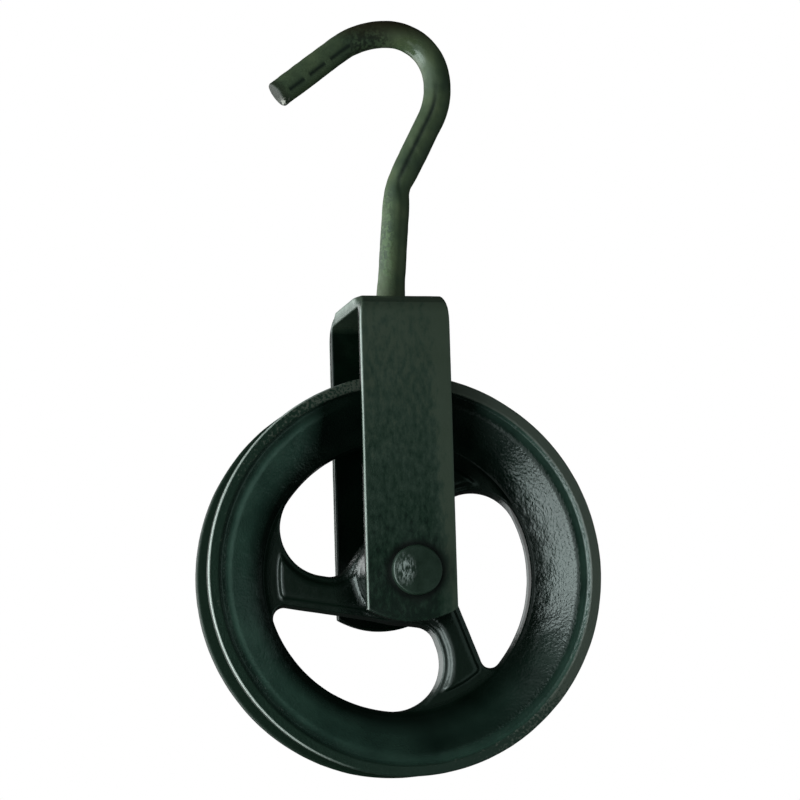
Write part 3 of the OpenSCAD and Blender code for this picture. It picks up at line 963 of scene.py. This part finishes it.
def rivet_paint_with_painted_highlight():
    """Oil paint on the forged rivet: olive green, with pale scratch-like strokes on the left of its head as a painted
    highlight.
    """
    material, tree, place = new_paint("oil_paint_on_rivet_with_painted_highlight")
    cloud = add(tree, "TexNoise", {"Vector": place, "Scale": per_metre(9), "Detail": 4.0})
    grit = add(tree, "TexNoise", {"Vector": place, "Scale": per_metre(1.4), "Detail": 2.0})
    base = add(tree, "ValToRGB", {"Fac": cloud}, stops=((0.3, "#0A1C12"), (0.72, "#162B1F"), (0.5, "#0F2317")))
    # Pale scratch-like strokes on the left of the head are a painted highlight
    patch_x, patch_z = axle[0] - 6.5, axle[2] + 0.5
    shift = (-patch_x * MM, 0.0, -patch_z * MM)
    from_patch = add(tree, "VectorMath", {0: place, 1: shift}, operation="ADD")
    tall = add(tree, "VectorMath", {0: from_patch, 1: (1.5, 0.0, 1.0)}, operation="MULTIPLY")
    away = add(tree, "VectorMath", {0: tall}, "Value", operation="LENGTH")
    patch = add(tree, "MapRange", {"Value": away, "From Min": 0.009, "From Max": 0.003})
    drawn = add(tree, "VectorMath", {0: place, 1: (1.3, 1.0, 0.55)}, operation="MULTIPLY")
    # Scratches are about 0.1 mm wide and are drawn at 1 mm, so that they show
    strokes = add(tree, "TexNoise", {"Vector": drawn, "Scale": per_metre(1.6), "Detail": 3.0, "Roughness": 0.7})
    lines = add(tree, "MapRange", {"Value": strokes, "From Min": 0.45, "From Max": 0.6})
    highlight_strokes = add(tree, "Math", {0: patch, 1: lines}, operation="MULTIPLY")
    colour = add(tree, "Mix", {0: highlight_strokes, 6: base, 7: paint("#7E8C88")}, 2, data_type="RGBA")
    dull = add(tree, "MapRange", {"Value": cloud, "From Min": 0.3, "From Max": 0.7, "To Min": 0.34, "To Max": 0.48})
    dents = add(tree, "Bump", {"Height": cloud, "Distance": 0.2 * MM, "Strength": 1.0})
    gritty = add(tree, "Bump", {"Height": grit, "Distance": 0.06 * MM, "Strength": 1.0, "Normal": dents})
    shader = add(tree, "BsdfPrincipled", {
        "Base Color": colour, "Roughness": dull, "IOR": oil_ior, "Specular Tint": oil_tint, "Normal": gritty,
    })
    add(tree, "OutputMaterial", {"Surface": shader})
    return material


def matt_paper():
    """Matt paper under the pulley: pale and even, and dim in what the paint mirrors."""
    material, tree, place = new_paint("matt_paper")
    fibre = add(tree, "TexNoise", {"Vector": place, "Scale": per_metre(40), "Detail": 2.0})
    seen = add(tree, "ValToRGB", {"Fac": fibre}, stops=((0.3, "#E6E6E4"), (0.7, "#EBEBE9")))
    by_camera = add(tree, "LightPath", {}, "Is Camera Ray")
    colour = add(tree, "Mix", {0: by_camera, 6: paint("#3A3A3A"), 7: seen}, 2, data_type="RGBA")
    glow = add(tree, "Math", {0: by_camera, 1: 0.6}, operation="MULTIPLY")
    shader = add(tree, "BsdfPrincipled", {
        "Base Color": colour, "Roughness": 0.9, "Emission Color": seen, "Emission Strength": glow,
    })
    add(tree, "OutputMaterial", {"Surface": shader})
    return material


# Camera, light and floor

def camera():
    """The photograph's view: from the left and a little below, through a long lens."""
    azimuth, elevation, roll = (math.radians(a) for a in (-12.958, -7.792, -1.637))
    aim = Vector((0.9, 0, -182.74)) * MM
    back = Vector((
        math.sin(azimuth) * math.cos(elevation),
        -math.cos(azimuth) * math.cos(elevation),
        math.sin(elevation),
    ))
    right = (-back).cross(Vector((0, 0, 1))).normalized()
    up = right.cross(-back)
    right, up = (
        right * math.cos(roll) + up * math.sin(roll),
        up * math.cos(roll) - right * math.sin(roll),
    )
    data = bpy.data.cameras.new("camera")
    data.sensor_width = 36
    data.lens = 3162.2 / 800 * data.sensor_width
    made = bpy.data.objects.new("camera", data)
    made.matrix_world = Matrix.Translation(aim + back * 1.6) @ Matrix((right, up, back)).transposed().to_4x4()
    bpy.context.scene.collection.objects.link(made)
    bpy.context.scene.camera = made


def softbox(name, turn, spread, low, high, level, tint="#FFFFFF"):
    """A soft light a metre off, given in degrees left of the front and across, metres in height, and radiance."""
    far = 1.0
    width = 2 * far * math.tan(math.radians(spread / 2))
    height = high - low
    data = bpy.data.lights.new(name, "AREA")
    data.shape = "RECTANGLE"
    data.size = width
    data.size_y = height
    data.energy = level * math.pi * width * height
    data.color = paint(tint)[:3]
    made = bpy.data.objects.new(name, data)
    way = Vector((-math.sin(math.radians(turn)), -math.cos(math.radians(turn)), 0))
    made.location = way * far + Vector((0, 0, (low + high) / 2))
    made.rotation_euler = way.to_track_quat("Z", "Y").to_euler()
    made.visible_camera = False
    bpy.context.scene.collection.objects.link(made)


def floor():
    """A pale floor, a metre and a quarter under the hook."""
    mesh = bpy.data.meshes.new("floor")
    reach = 6
    height = -1.25
    sides = ((-reach, -reach), (reach, -reach), (reach, reach), (-reach, reach))
    mesh.from_pydata([(x, y, height) for x, y in sides], [], [(0, 1, 2, 3)])
    mesh.materials.append(matt_paper())
    made = bpy.data.objects.new("floor", mesh)
    bpy.context.scene.collection.objects.link(made)


def world():
    """White all round for the camera; what the paint mirrors is pale at the left and dim elsewhere."""
    made = bpy.data.worlds.new("studio")
    bpy.context.scene.world = made
    made.use_nodes = True
    tree = made.node_tree
    tree.nodes.clear()
    way = add(tree, "TexCoord", {}, "Generated")
    bright_side = (-1.0, 0.0, 0.0)
    side = add(tree, "VectorMath", {0: way, 1: bright_side}, "Value", operation="DOT_PRODUCT")
    level = add(tree, "MapRange", {"Value": side, "From Min": 0.3, "From Max": 0.8, "To Min": 0.012, "To Max": 0.6})
    glossy = add(tree, "LightPath", {}, "Is Glossy Ray")
    through = add(tree, "LightPath", {}, "Is Transmission Ray")
    by_camera = add(tree, "LightPath", {}, "Is Camera Ray")
    mirrored = add(tree, "Math", {0: glossy, 1: through}, operation="MAXIMUM")
    plain = 0.2
    level = add(tree, "Mix", {0: mirrored, 2: plain, 3: level}, data_type="FLOAT")
    level = add(tree, "Mix", {0: by_camera, 2: level, 3: 1.0}, data_type="FLOAT")
    light = add(tree, "Background", {"Color": paint("#FFFFFF"), "Strength": level})
    add(tree, "OutputWorld", {"Surface": light})


camera()
world()
softbox("front_light", 26, 36, -1.1, 0.17, 0.8)
softbox("front_left_light", 66, 44, -1.1, 0.17, 4.4)
softbox("left_light", 108, 56, -1.1, 0.17, 3.6)
softbox("back_left_light", 148, 26, -1.1, 0.17, 1.8)
softbox("right_fill", -60, 66, -1.1, 0.17, 0.4, "#DDF5EA")
floor()
bpy.context.scene.view_settings.view_transform = "Standard"

pulley_wheel()
stirrup_strap()
axle_rivet()
rivet_hole_r = axle_r + hole_play
punched_ring("rivet_burr", burr_low, burr_high, rivet_hole_r, (0, 1, 0), (1, 0, 0), "stirrup", 5, "rivet_washer")
hook()
punched_ring("hook_plate", plate_low, plate_high, eye_r, (0, 0, 1), (1, 0, 0), "hook", 7, "hook_washer")
